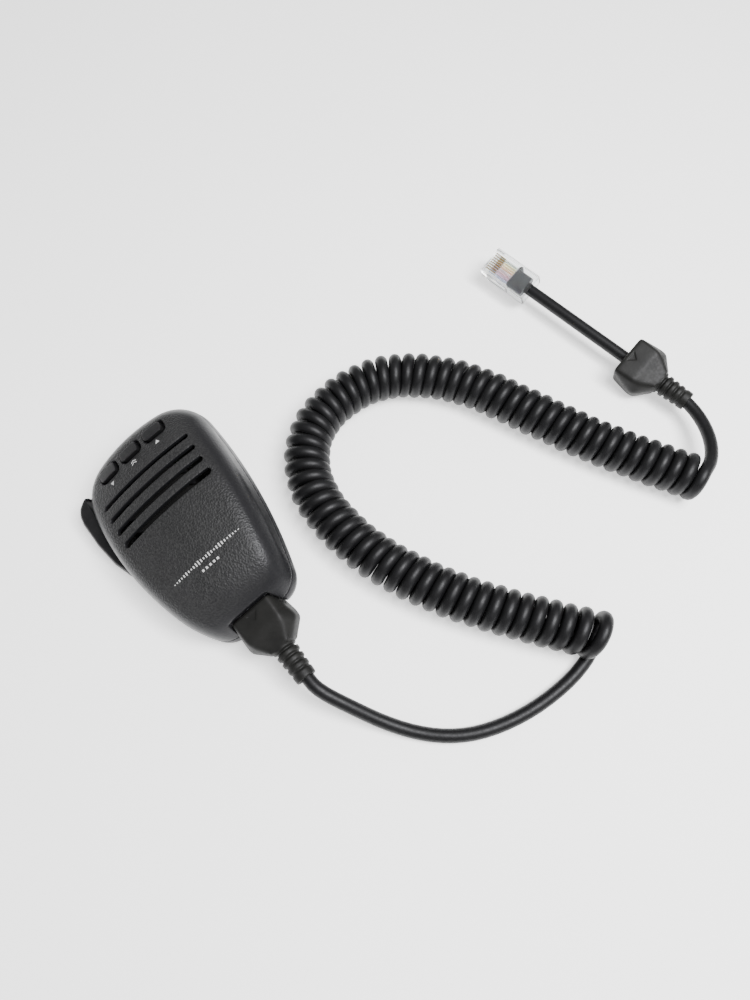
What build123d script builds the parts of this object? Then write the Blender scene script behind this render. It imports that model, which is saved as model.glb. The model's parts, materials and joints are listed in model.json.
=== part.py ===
from build123d import *
import math
import os

# The microphone is drawn in its own local frame: +X its right, +Y its top, +Z out of its face,
# with the flat of its back at z = 0. It is then turned to the way it lies on its hanger stud.
# The cord, its boot and its plug are drawn where they lie, with the table at z = 0.
# Lengths are in millimetres and angles in degrees.

# ---------------------------------------------------------------- case
HALF_WIDTH = 27.1
WIDEST_Y = 18.0
FLANK_R = 168.0
FLANK_END_Y = -52.0
TOP_Y = 42.5
TOP_R = 77.0
SHOULDER_ROUND = 16.0
FACE_APEX_Z = 24.0
FACE_APEX_Y = -6.0
CROWN_LONG_R = 110.0
CROWN_CROSS_R = 90.0
HEEL_START_Y = -23.0
HEEL_R = 24.0
FACE_ROUND = 9.0
BACK_ROUND = 5.0
WALL = 2.2
PARTING_Z = 8.0
LIP_HEIGHT = 1.2
LIP_THICKNESS = 1.0
LIP_GAP = 0.05

# ---------------------------------------------------------------- sound slots and buttons
SLOT_WIDTHS = [2.4, 2.1, 1.8, 1.6]
SLOT_PITCH = 5.6
SLOT_LENGTH = 39.8
FIRST_SLOT_Y = 5.6
SLOT_X = 0.9
BUTTON_X = {"button_down": -10.9, "button_fast": 0.0, "button_up": 10.9}
BUTTON_Y = 33.6
BUTTON_WIDTH = 7.6
BUTTON_DEPTH = 4.2
BUTTON_CORNER = 1.2
BUTTON_GAP = 0.25
BUTTON_PROUD = 0.7
BUTTON_FLANGE = 0.9
BUTTON_BASE_Z = 12.0
RECESS_SHIFT = (0.4, -0.4)
RECESS_MARGIN = 1.5
RECESS_CORNER = 1.7
RECESS_DEPTH = 1.25
STEM_R = 1.5
SWITCH_SIDE = 6.0
SWITCH_HEIGHT = 3.5
PLUNGER_R = 1.7
PLUNGER_REACH = 1.0
PLUNGER_DEPTH = 0.7

# ---------------------------------------------------------------- board and fasteners
BOARD_Z = 4.2
BOARD_THICKNESS = 1.6
BOARD_INSET = 3.0
BOARD_LEFT_X = -17.5
BOARD_BOTTOM_Y = -36.0
BOARD_TOP_Z = BOARD_Z + BOARD_THICKNESS
CASE_SCREWS = [(-18.4, 33.5), (18.4, 33.5), (0.0, -12.0)]
CASE_SCREW_R = 1.2
CASE_SCREW_HEAD_R = 2.4
CASE_SCREW_TOP_Z = 12.0
CASE_BOSS_R = 2.6
CASE_BOSS_FOOT_Z = 4.0
BOARD_SCREWS = [(-12.2, -31.0), (12.2, -31.0)]
BOARD_SCREW_R = 0.95
FIT_GAP = 0.05

# ---------------------------------------------------------------- hanger stud on the back
STUD_Y = 10.0
STUD_HEAD_R = 6.2
STUD_HEAD_THICKNESS = 1.8
STUD_NECK_R = 3.4
STUD_HEIGHT = 6.69
STUD_SCREW_R = 1.5

# ---------------------------------------------------------------- dynamic capsule
CAPSULE_Y = 9.5
CUP_R = 11.0
CUP_Z = 7.4
CUP_HEIGHT = 7.4
CAP_R = 12.25
CAP_HEIGHT = 2.2
CLOTH_THICKNESS = 0.5
RING_R = 13.5
RING_Z = 13.4
RING_TOP_Z = 17.6
PAD_R = 7.0

# ---------------------------------------------------------------- push-to-talk bar
PTT_PIVOT = (-22.2, 1.0)
PTT_Z = 3.2
PTT_TOP_Z = 12.2
PTT_GAP = 0.3
PTT_PIN_R = 1.0
PTT_BARREL_R = 2.3
PTT_NOSE_Y = 19.0
PTT_NOSE_X = -20.7
PTT_SPRING_Y = 24.3
PTT_FLANGE_X = -22.2
SPRING_RIB_X = -18.6

# ---------------------------------------------------------------- modular plug, jack and boots
PLUG_WIDTH = 11.7
PLUG_HEIGHT = 6.6
PLUG_LENGTH = 21.5
WIRE_COUNT = 8
WIRE_PITCH = 1.02
WIRE_R = 0.45
CORD_R = 2.4
CORD_IN_PLUG = 2.0
BOOT_POCKET = 8.0
BOOT_LENGTH = 16.2
RELIEF_LENGTH = 12.8
MIC_CORD_Z = 7.5
MIC_BOOT_Y = -37.4
MIC_PLUG_Y = MIC_BOOT_Y - BOOT_POCKET + 0.1

LATCH_GAP = 0.06
LATCH_PRESS = 5.5
LATCH_ROOT_Y = 19.2
JACK_HALF = 7.6
JACK_FACE_Y = -37.0
JACK_BACK_Y = -22.8
JACK_Z = (2.4, 13.3)

# ---------------------------------------------------------------- tone selector
TONE_X = 11.5
TONE_Y = -6.0
TONE_TRAVEL = 2.4

# ---------------------------------------------------------------- how the microphone lies
REST_ROLL = -21.0
REST_PITCH = 2.6

# ---------------------------------------------------------------- cord, in the frame of the table
COIL_R = 8.4
LEAD_Z = 2.45
COIL_Z = 8.45
RADIO_AXIS_Z = 9.2
RADIO_ROLL = -21.0
RADIO_PLUG_AT = (168.2, 6.4)
RADIO_RELIEF_AT = (181.1, -69.5)
LEAD_POINTS = [
    (3.85, -76.3, 11.7),
    (8.6, -88.0, 7.2),
    (17.8, -98.4, LEAD_Z),
    (31.0, -109.2, LEAD_Z),
    (46.0, -116.6, LEAD_Z),
    (58.5, -120.2, LEAD_Z),
    (70.0, -121.4, LEAD_Z),
    (81.3, -120.6, LEAD_Z),
    (91.2, -114.9, LEAD_Z),
]
COIL_POINTS = [
    (90.1, -112.3, COIL_Z),
    (72.0, -91.0, COIL_Z),
    (54.5, -66.0, COIL_Z),
    (43.8, -38.5, COIL_Z),
    (43.5, -10.5, COIL_Z),
    (56.5, 8.0, COIL_Z),
    (77.0, 13.8, COIL_Z),
    (98.0, 9.5, COIL_Z),
    (117.5, -9.0, COIL_Z),
    (129.0, -34.0, COIL_Z),
    (143.5, -66.5, COIL_Z),
    (160.0, -92.7, COIL_Z),
]
TAIL_POINTS = [
    (159.9, -95.5, 14.6),
    (173.5, -87.3, 11.5),
    (182.9, -80.1, RADIO_AXIS_Z),
]
TAIL_RADII = [45.0, 14.0]

os.makedirs("parts", exist_ok=True)


# ---------------------------------------------------------------- helpers
def box(x, y, z):
    """Block between two corners, given as (low, high) along each axis."""
    size = (x[1] - x[0], y[1] - y[0], z[1] - z[0])
    middle = ((x[0] + x[1]) / 2, (y[0] + y[1]) / 2, (z[0] + z[1]) / 2)
    return Pos(*middle) * Box(*size)


def post(x, y, z, radius):
    """Upright cylinder between two heights, given as (low, high)."""
    return Pos(x, y, (z[0] + z[1]) / 2) * Cylinder(radius, z[1] - z[0])


def key_block(x, y, z, width, depth, corner):
    """Upright block with a rounded rectangular plan."""
    plan = RectangleRounded(width, depth, corner)
    return Pos(x, y, z[0]) * extrude(plan, z[1] - z[0])


# ---------------------------------------------------------------- case
def plan_outline(inset=0.0):
    """Plan of the case: bowed top, round shoulders and bowed flanks that run on past the heel."""
    flank = Circle(FLANK_R - inset)
    centre_x = HALF_WIDTH - FLANK_R
    plan = (Pos(centre_x, WIDEST_Y) * flank) & (Pos(-centre_x, WIDEST_Y) * flank)
    plan = plan & (Pos(0, TOP_Y - TOP_R) * Circle(TOP_R - inset))
    plan = plan & (Pos(0, FLANK_END_Y + 60) * Rectangle(120, 120))
    face = plan.faces()[0]
    return fillet(face.vertices().group_by(Axis.Y)[-1], SHOULDER_ROUND - inset)


def crown_section(centre_y, centre_z, radius):
    """Radial section of the crown: the cross arc of the face above an axis that runs across the case."""
    half = 42.0
    sag = CROWN_CROSS_R - math.sqrt(CROWN_CROSS_R**2 - half**2)
    top = centre_z + radius
    arc = ThreePointArc((-half, centre_y, top - sag), (0, centre_y, top), (half, centre_y, top - sag))
    base = Polyline(
        (half, centre_y, top - sag),
        (half, centre_y, centre_z),
        (-half, centre_y, centre_z),
        (-half, centre_y, top - sag),
    )
    return make_face([arc, base])


def crown(inset=0.0):
    """Everything under the crowned face: a long gentle arc that runs tangent into the tighter heel."""
    long_z = FACE_APEX_Z - CROWN_LONG_R
    turn = math.asin((FACE_APEX_Y - HEEL_START_Y) / CROWN_LONG_R)
    heel_y = HEEL_START_Y + HEEL_R * math.sin(turn)
    heel_z = long_z + (CROWN_LONG_R - HEEL_R) * math.cos(turn)
    degrees = math.degrees(turn)
    long_axis = Axis((0, FACE_APEX_Y, long_z), (1, 0, 0))
    heel_axis = Axis((0, heel_y, heel_z), (1, 0, 0))
    long_part = crown_section(FACE_APEX_Y, long_z, CROWN_LONG_R - inset)
    long_part = revolve(long_part.rotate(long_axis, degrees), long_axis, -(degrees + 40))
    heel_part = crown_section(heel_y, heel_z, HEEL_R - inset)
    heel_part = revolve(heel_part.rotate(heel_axis, degrees), heel_axis, 110)
    return long_part + heel_part


def case_block(inset=0.0):
    """Solid of the case's outside, or of a hollow that follows it at a distance."""
    block = Pos(0, 0, inset) * extrude(plan_outline(inset), FACE_APEX_Z + 5)
    block = block & crown(inset)
    low = block.bounding_box().min.Z + 0.01
    rim = block.edges().filter_by(lambda e: e.bounding_box().max.Z > low)
    rim = rim.filter_by(lambda e: abs(e.center().X) > 1.0 or e.center().Y > TOP_Y - 10)
    block = fillet(rim, FACE_ROUND - inset)
    back = block.edges().group_by(Axis.Z)[0]
    return fillet(back, BACK_ROUND - inset)


def lip_ring(outer_inset, inner_inset, low, high):
    """Ring that follows the case wall between two insets, for the tongue and groove at the parting line."""
    ring = case_block(outer_inset) - case_block(inner_inset)
    return ring & box((-40, 40), (-60, 60), (low, high))


def boot_notch():
    """Opening in the heel that the boot drops into; it widens towards the outside."""
    plan = Polyline((-8.5, -37.0), (8.5, -37.0), (10.8, -45.5), (-10.8, -45.5), close=True)
    return Pos(0, 0, -1) * extrude(make_face(plan), 20)


def ptt_notch():
    """Opening in the left flank for the push-to-talk bar and its hinge barrel."""
    window = box((-40, -21.5), (1.0, 35.5), (PTT_Z - PTT_GAP, PTT_TOP_Z + PTT_GAP))
    hinge = box((-40, -19.4), (-3.6, 4.0), (PTT_Z - PTT_GAP, PTT_TOP_Z + PTT_GAP))
    return window + hinge


def sound_slots():
    """Four round-ended slots across the face, wider towards the heel."""
    slots = []
    for number, width in enumerate(SLOT_WIDTHS):
        plan = SlotOverall(SLOT_LENGTH, width)
        slots.append(Pos(SLOT_X, FIRST_SLOT_Y + number * SLOT_PITCH, 14) * extrude(plan, 14))
    return slots


def make_front_shell():
    shell = case_block() - case_block(WALL)
    shell = shell & box((-40, 40), (-60, 60), (PARTING_Z, 40))
    inside = case_block(WALL / 2)
    rib = post(0, CAPSULE_Y, (RING_TOP_Z, 26), RING_R) - post(0, CAPSULE_Y, (10, 30), RING_R - 1.3)
    shell = shell + (rib & inside)
    for slot in sound_slots():
        shell = shell - slot
    for x, y in CASE_SCREWS:
        boss = post(x, y, (CASE_BOSS_FOOT_Z, 26), CASE_BOSS_R) & inside
        shell = shell + boss
        shell = shell - post(x, y, (0, CASE_SCREW_TOP_Z + 0.5), CASE_SCREW_R + FIT_GAP)
    pivot_boss = post(*PTT_PIVOT, (PTT_TOP_Z + PTT_GAP, 26), PTT_BARREL_R) & inside
    shell = shell - ptt_notch()
    shell = shell + pivot_boss
    shell = shell - post(*PTT_PIVOT, (0, PTT_TOP_Z + 2.6), PTT_PIN_R + FIT_GAP)
    for x in BUTTON_X.values():
        opening = key_block(x, BUTTON_Y, (9, 30), BUTTON_WIDTH + 2 * BUTTON_GAP, BUTTON_DEPTH + 2 * BUTTON_GAP,
                            BUTTON_CORNER + BUTTON_GAP)
        recess = key_block(x + RECESS_SHIFT[0], BUTTON_Y + RECESS_SHIFT[1], (9, 30),
                           BUTTON_WIDTH + RECESS_MARGIN, BUTTON_DEPTH + RECESS_MARGIN, RECESS_CORNER)
        shell = shell - opening
        shell = shell - (recess - crown(RECESS_DEPTH))
    groove = lip_ring(WALL - LIP_THICKNESS - LIP_GAP, WALL + LIP_GAP, PARTING_Z - 1, PARTING_Z + LIP_HEIGHT + LIP_GAP)
    return shell - groove - boot_notch()


def make_rear_shell():
    shell = case_block() - case_block(WALL)
    shell = shell & box((-40, 40), (-60, 60), (-1, PARTING_Z))
    lip = lip_ring(WALL - LIP_THICKNESS, WALL, PARTING_Z - 0.5, PARTING_Z + LIP_HEIGHT)
    shell = shell + lip
    floor = case_block(WALL / 2) & box((-40, 40), (-60, 60), (0, PARTING_Z))
    for x, y in CASE_SCREWS:
        shell = shell + (post(x, y, (1.5, CASE_BOSS_FOOT_Z), CASE_BOSS_R + 1.0) & floor)
        shell = shell - post(x, y, (-1, 10), CASE_SCREW_R + 0.15)
        shell = shell - post(x, y, (-1, 1.8), CASE_SCREW_HEAD_R + 0.2)
    for x, y in BOARD_SCREWS:
        shell = shell + (post(x, y, (1.5, BOARD_Z), 2.3) & floor)
        shell = shell - post(x, y, (1.2, 8), BOARD_SCREW_R + FIT_GAP)
    shell = shell + (post(0, STUD_Y, (1.5, BOARD_Z), 4.0) & floor)
    shell = shell - post(0, STUD_Y, (-1, BOARD_Z - 0.4), STUD_SCREW_R + FIT_GAP)
    shell = shell - ptt_notch()
    pivot_boss = post(*PTT_PIVOT, (1.5, PTT_Z - PTT_GAP), PTT_BARREL_R) & floor
    shell = shell + pivot_boss
    shell = shell - post(*PTT_PIVOT, (1.6, 10), PTT_PIN_R + FIT_GAP)
    spring_rib = box((SPRING_RIB_X, SPRING_RIB_X + 0.9), (PTT_SPRING_Y - 1.9, PTT_SPRING_Y + 1.9), (1.5, 11.6))
    shell = shell + spring_rib
    slider_slot = box((TONE_X - 2.5, TONE_X + 2.5), (TONE_Y - 1.1, TONE_Y + 1.1), (-1, 4))
    dish = key_block(TONE_X, TONE_Y, (-1, 0.6), 8.0, 4.2, 1.4)
    shell = shell - slider_slot - dish
    return shell - boot_notch()


# ---------------------------------------------------------------- board, switches and fasteners
def make_circuit_board():
    board = Pos(0, 0, BOARD_Z) * extrude(plan_outline(BOARD_INSET), BOARD_THICKNESS)
    board = board - box((-40, 40), (-60, BOARD_BOTTOM_Y), (0, 10))
    board = board - box((-40, BOARD_LEFT_X), (-6, 40), (0, 10))
    board = board - box((-JACK_HALF - 0.3, JACK_HALF + 0.3), (-60, JACK_BACK_Y + 0.3), (0, 10))
    for x, y in CASE_SCREWS:
        board = board - post(x, y, (0, 10), CASE_BOSS_R + 0.3)
    for x, y in BOARD_SCREWS:
        board = board - post(x, y, (0, 10), BOARD_SCREW_R + 0.2)
    return board


def make_case_screws():
    """Three pan-head screws driven from the back."""
    screws = []
    for x, y in CASE_SCREWS:
        head = post(x, y, (0.25, 1.8), CASE_SCREW_HEAD_R)
        shank = post(x, y, (1.8, CASE_SCREW_TOP_Z), CASE_SCREW_R)
        cross = box((x - 1.5, x + 1.5), (y - 0.3, y + 0.3), (0, 1.1)) + box((x - 0.3, x + 0.3), (y - 1.5, y + 1.5), (0, 1.1))
        screws.append(head + shank - cross)
    return Compound(screws)


def make_board_screws():
    screws = []
    for x, y in BOARD_SCREWS:
        head = post(x, y, (BOARD_TOP_Z, BOARD_TOP_Z + 1.5), 1.9)
        shank = post(x, y, (1.4, BOARD_TOP_Z), BOARD_SCREW_R)
        cross = box((x - 1.2, x + 1.2), (y - 0.25, y + 0.25), (BOARD_TOP_Z + 0.6, 9))
        screws.append(head + shank - cross)
    return Compound(screws)


def make_hanger_stud():
    """Turned metal button on a neck; a bracket's fork slides in behind its head."""
    head = post(0, STUD_Y, (-STUD_HEIGHT, -STUD_HEIGHT + STUD_HEAD_THICKNESS), STUD_HEAD_R)
    neck = post(0, STUD_Y, (-STUD_HEIGHT + STUD_HEAD_THICKNESS, 0), STUD_NECK_R)
    stud = head + neck
    rim = stud.edges().filter_by(GeomType.CIRCLE).group_by(Axis.Z)[0]
    stud = chamfer(rim, 0.3)
    stud = stud - post(0, STUD_Y, (-10, 1), STUD_SCREW_R + FIT_GAP)
    return stud - post(0, STUD_Y, (-10, -STUD_HEIGHT + 1.6), 3.0)


def make_stud_screw():
    low = -STUD_HEIGHT + 0.3
    head = post(0, STUD_Y, (low, -STUD_HEIGHT + 1.6), 2.8)
    shank = post(0, STUD_Y, (-STUD_HEIGHT + 1.6, BOARD_Z - 0.6), STUD_SCREW_R)
    cross = box((-1.9, 1.9), (STUD_Y - 0.35, STUD_Y + 0.35), (low - 1, low + 0.8))
    cross = cross + box((-0.35, 0.35), (STUD_Y - 1.9, STUD_Y + 1.9), (low - 1, low + 0.8))
    return head + shank - cross


def make_tact_switches():
    """Three switch housings, each with a well for its plunger."""
    bodies = []
    for x in BUTTON_X.values():
        half = SWITCH_SIDE / 2
        body = box((x - half, x + half), (BUTTON_Y - half, BUTTON_Y + half), (BOARD_TOP_Z, BOARD_TOP_Z + SWITCH_HEIGHT))
        top = BOARD_TOP_Z + SWITCH_HEIGHT
        bodies.append(body - post(x, BUTTON_Y, (top - PLUNGER_DEPTH - 0.9, top + 1), PLUNGER_R + FIT_GAP))
    return Compound(bodies)


def make_tact_plunger(x):
    top = BOARD_TOP_Z + SWITCH_HEIGHT
    return post(x, BUTTON_Y, (top - PLUNGER_DEPTH, top + PLUNGER_REACH), PLUNGER_R)


def make_button(x):
    """Key that follows the slope of the face, with a retaining flange and a stem down to its switch."""
    key = key_block(x, BUTTON_Y, (BUTTON_BASE_Z - 1, 30), BUTTON_WIDTH, BUTTON_DEPTH, BUTTON_CORNER)
    key = key & crown(-BUTTON_PROUD)
    flange = key_block(x, BUTTON_Y, (BUTTON_BASE_Z - 1, 30), BUTTON_WIDTH + 1.6, BUTTON_DEPTH + 1.6, 1.6)
    flange = flange & case_block(WALL + 0.15)
    flange = flange - box((-40, 40), (0, 60), (BUTTON_BASE_Z + BUTTON_FLANGE, 40))
    stem = post(x, BUTTON_Y, (BOARD_TOP_Z + SWITCH_HEIGHT + PLUNGER_REACH, BUTTON_BASE_Z), STEM_R)
    return key + flange + stem


# ---------------------------------------------------------------- push-to-talk bar
def make_ptt_bar():
    """Long flank key: a shell-shaped outside, a hinge barrel, a switch nose and a retaining flange."""
    outer = Polyline(
        (-24.6, 35.0),
        (-27.2, 35.0),
        (-29.7, 33.5),
        (-31.2, 31.1),
        (-31.9, 28.0),
        (-31.9, 18.0),
        (-30.6, 8.0),
        (-28.2, 0.8),
        (-26.4, -2.9),
        (-24.0, -2.9),
        (-24.0, 4.5),
        (-25.6, 5.5),
        (-25.6, 34.1),
        close=True,
    )
    bar = Pos(0, 0, PTT_Z) * extrude(make_face(outer), PTT_TOP_Z - PTT_Z)
    long_edges = bar.faces().sort_by(Axis.Z)
    skin = long_edges[-1].edges() + long_edges[0].edges()
    skin = ShapeList(skin).filter_by(lambda e: e.center().X < -26.5)
    bar = chamfer(skin, 1.1)
    pivot_x, pivot_y = PTT_PIVOT
    bar = bar + box((-25.6, pivot_x), (pivot_y - 1.6, pivot_y + 1.6), (PTT_Z, PTT_TOP_Z))
    bar = bar + post(pivot_x, pivot_y, (PTT_Z, PTT_TOP_Z), PTT_BARREL_R)
    bar = bar - post(pivot_x, pivot_y, (0, 20), PTT_PIN_R + FIT_GAP)
    nose = box((-25.7, PTT_NOSE_X), (PTT_NOSE_Y - 1.5, PTT_NOSE_Y + 1.5), (7.0, 10.0))
    flange = box((-25.7, PTT_FLANGE_X), (21.6, 26.6), (7.6, PTT_TOP_Z))
    hook = box((-22.7, PTT_FLANGE_X), (21.8, 26.2), (7.6, 12.8))
    return bar + nose + flange + hook


def make_ptt_pin():
    return post(*PTT_PIVOT, (1.7, PTT_TOP_Z + 2.4), PTT_PIN_R)


def make_ptt_spring():
    """Small compression spring between the bar's flange and a rib of the rear shell."""
    length = SPRING_RIB_X - PTT_FLANGE_X - 0.4
    path = Helix(pitch=0.62, height=length, radius=1.3)
    wire = sweep(Plane(origin=path @ 0, z_dir=path % 0) * Circle(0.17), path=path)
    return Pos(PTT_FLANGE_X + 0.2, PTT_SPRING_Y, 9.8) * Rot(0, 90, 0) * wire


def make_ptt_switch():
    """Microswitch housing on the board with a well for its plunger."""
    body = box((-17.3, -13.9), (PTT_NOSE_Y - 3.2, PTT_NOSE_Y + 3.2), (BOARD_TOP_Z, BOARD_TOP_Z + 5.6))
    well = Pos(-16.4, PTT_NOSE_Y, 8.5) * Rot(0, 90, 0) * Cylinder(1.0 + FIT_GAP, 2.6)
    return body - well


def make_ptt_plunger():
    rod = Pos(-18.6, PTT_NOSE_Y, 8.5) * Rot(0, 90, 0) * Cylinder(1.0, 4.0)
    return rod


# ---------------------------------------------------------------- tone selector on the back
def make_tone_switch():
    body = box((TONE_X - 4.3, TONE_X + 4.3), (TONE_Y - 2.2, TONE_Y + 2.2), (2.3, BOARD_Z))
    return body - box((TONE_X - 3.2, TONE_X + 3.2), (TONE_Y - 1.5, TONE_Y + 1.5), (1, 3.7))


def make_tone_slider():
    """Slider at its low-tone end; its knob stays just below the surface of the back."""
    x = TONE_X - TONE_TRAVEL / 2
    base = box((x - 1.8, x + 1.8), (TONE_Y - 1.4, TONE_Y + 1.4), (2.8, 3.6))
    knob = box((x - 1.1, x + 1.1), (TONE_Y - 1.0, TONE_Y + 1.0), (0.25, 2.8))
    return base + knob


# ---------------------------------------------------------------- dynamic capsule
def make_capsule_cup():
    cup = post(0, CAPSULE_Y, (CUP_Z, CUP_Z + CUP_HEIGHT), CUP_R)
    rim = cup.edges().filter_by(GeomType.CIRCLE).group_by(Axis.Z)[0]
    return fillet(rim, 1.2)


def make_capsule_cap():
    """Perforated cap over the diaphragm, with a chamber beneath it."""
    low = CUP_Z + CUP_HEIGHT
    cap = post(0, CAPSULE_Y, (low, low + CAP_HEIGHT), CAP_R)
    cap = cap - post(0, CAPSULE_Y, (low, low + CAP_HEIGHT - 0.7), CAP_R - 1.6)
    for number in range(6):
        angle = math.radians(60 * number)
        x = 6.0 * math.cos(angle)
        y = CAPSULE_Y + 6.0 * math.sin(angle)
        cap = cap - post(x, y, (low, low + 5), 1.3)
    return cap - post(0, CAPSULE_Y, (low, low + 5), 1.3)


def make_capsule_diaphragm():
    low = CUP_Z + CUP_HEIGHT
    dome = Pos(0, CAPSULE_Y, low - 8.6) * (Sphere(9.2) & Pos(0, 0, 9.2) * Cylinder(9.2, 1.2))
    flat = post(0, CAPSULE_Y, (low, low + 0.3), CAP_R - 1.7)
    return flat + dome


def make_capsule_ring():
    """Rubber ring that presses the capsule against the rib of the front shell."""
    ring = post(0, CAPSULE_Y, (RING_Z, RING_TOP_Z), RING_R)
    ring = ring - post(0, CAPSULE_Y, (CUP_Z + CUP_HEIGHT, 30), CAP_R)
    return ring - post(0, CAPSULE_Y, (0, 30), CUP_R)


def make_acoustic_cloth():
    low = CUP_Z + CUP_HEIGHT + CAP_HEIGHT
    return post(0, CAPSULE_Y, (low, low + CLOTH_THICKNESS), CAP_R)


def make_capsule_pad():
    return post(0, CAPSULE_Y, (BOARD_TOP_Z, CUP_Z), PAD_R)


def make_capsule_leads():
    """Two thin leads from the back of the cup down to the board."""
    leads = []
    for x in (-8.2, 8.2):
        path = FilletPolyline((x, CAPSULE_Y - 3.5, CUP_Z), (x, CAPSULE_Y - 3.5, 6.5), (x, CAPSULE_Y - 12, 6.5),
                              (x, CAPSULE_Y - 12, BOARD_TOP_Z), radius=0.45)
        start = Plane(origin=path @ 0, z_dir=path % 0)
        leads.append(sweep(start * Circle(0.4), path=path))
    return Compound(leads)


# ---------------------------------------------------------------- modular plug, jack and boot
def make_jack():
    """Eight-way modular jack let into the board, mouth towards the heel."""
    jack = box((-JACK_HALF, JACK_HALF), (JACK_FACE_Y, JACK_BACK_Y), JACK_Z)
    tip = MIC_PLUG_Y + PLUG_LENGTH + 0.2
    half = PLUG_WIDTH / 2 + 0.1
    jack = jack - box((-half, half), (-50, tip), (MIC_CORD_Z - PLUG_HEIGHT / 2 - 0.1, MIC_CORD_Z + PLUG_HEIGHT / 2 + 0.1))
    jack = jack - box((-3.4, 3.4), (-50, tip), (2.7, 6))
    jack = jack - box((-4.4, 4.4), (-31, tip), (9, 12.7))
    jack = jack - box((-10, 10), (-50, -33.5), (11.3, 20))
    return jack - box((-4.4, 4.4), (-30, -20), (11.7, 12.7))


def make_jack_contacts():
    """Eight sprung fingers that rest on the plug's blades."""
    fingers = []
    blade_top = MIC_CORD_Z + 3.1
    profile = Polyline(
        (-21.0, BOARD_TOP_Z),
        (-21.0, 12.5),
        (-24.6, 12.5),
        (-28.0, blade_top + 0.4),
        (-29.2, blade_top + 0.9),
        (-29.2, blade_top + 0.5),
        (-28.0, blade_top),
        (-24.8, 12.1),
        (-21.4, 12.1),
        (-21.4, BOARD_TOP_Z),
        close=True,
    )
    strip = extrude(Plane.YZ * make_face(profile), 0.4)
    for number in range(WIRE_COUNT):
        x = (number - (WIRE_COUNT - 1) / 2) * WIRE_PITCH
        fingers.append(Pos(x - 0.2, 0, 0) * strip)
    return Compound(fingers)


def make_plug_body():
    """Clear plug, rear end at y = 0: jacket cavity, wire channel and eight blade slots."""
    half = PLUG_WIDTH / 2
    body = box((-half, half), (0, PLUG_LENGTH), (-PLUG_HEIGHT / 2, PLUG_HEIGHT / 2))
    body = chamfer(body.edges().filter_by(Axis.Y), 0.4)
    body = body - key_block(0, 3, (-2.5, 2.5), 10.2, 12.6, 1.5)
    body = body - box((-4.3, 4.3), (9, 19.0), (-0.6, 0.6))
    for number in range(WIRE_COUNT):
        x = (number - (WIRE_COUNT - 1) / 2) * WIRE_PITCH
        body = body - box((x - 0.22, x + 0.22), (15.6, 20.8), (0.4, 4))
    return body


def make_plug_blades():
    blades = []
    for number in range(WIRE_COUNT):
        x = (number - (WIRE_COUNT - 1) / 2) * WIRE_PITCH
        blades.append(box((x - 0.16, x + 0.16), (15.8, 20.6), (WIRE_R, 3.1)))
    return Compound(blades)


def make_plug_wires():
    wires = []
    for number in range(WIRE_COUNT):
        x = (number - (WIRE_COUNT - 1) / 2) * WIRE_PITCH
        wires.append(Pos(x, 14.0, 0) * Rot(90, 0, 0) * Cylinder(WIRE_R, 9.6))
    return Compound(wires)


def make_plug_sheath():
    """Flattened inner jacket between the cord's end and the wires."""
    return Pos(0, 5.6, 0) * (Rot(90, 0, 0) * extrude(RectangleRounded(8.4, 4.2, 1.9), 3.6, both=True))


def make_plug_latch():
    """Sprung tongue under the plug, free end towards the cord."""
    plan = Polyline(
        (-1.6, 20.6),
        (1.6, 20.6),
        (1.6, 15.0),
        (3.1, 14.0),
        (3.1, 12.2),
        (1.5, 11.4),
        (1.5, 7.4),
        (-1.5, 7.4),
        (-1.5, 11.4),
        (-3.1, 12.2),
        (-3.1, 14.0),
        (-1.6, 15.0),
        close=True,
    )
    blank = Pos(0, 0, -9) * extrude(make_face(plan), 12)
    half = PLUG_HEIGHT / 2
    side = Polyline(
        (21.0, -half - LATCH_GAP),
        (20.4, -half - 0.8),
        (7.0, -half - 2.3),
        (7.0, -half - 1.5),
        (LATCH_ROOT_Y, -half - LATCH_GAP),
        close=True,
    )
    slab = Pos(-5, 0, 0) * extrude(Plane.YZ * make_face(side), 10)
    return blank & slab


def pressed_latch():
    """The tongue squeezed towards the plug, as the jack holds it."""
    hinge = Pos(0, LATCH_ROOT_Y, -PLUG_HEIGHT / 2 - LATCH_GAP)
    back = Pos(0, -LATCH_ROOT_Y, PLUG_HEIGHT / 2 + LATCH_GAP)
    return hinge * Rot(-LATCH_PRESS, 0, 0) * back * make_plug_latch()


def boot_section(y, top_half, top, side_half, side_high, side_low, foot_half, foot):
    """One eight-sided section of the boot across its length."""
    outline = Polyline(
        (-top_half, y, top),
        (top_half, y, top),
        (side_half, y, side_high),
        (side_half, y, side_low),
        (foot_half, y, foot),
        (-foot_half, y, foot),
        (-side_half, y, side_low),
        (-side_half, y, side_high),
        close=True,
    )
    return make_face(outline)


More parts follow.
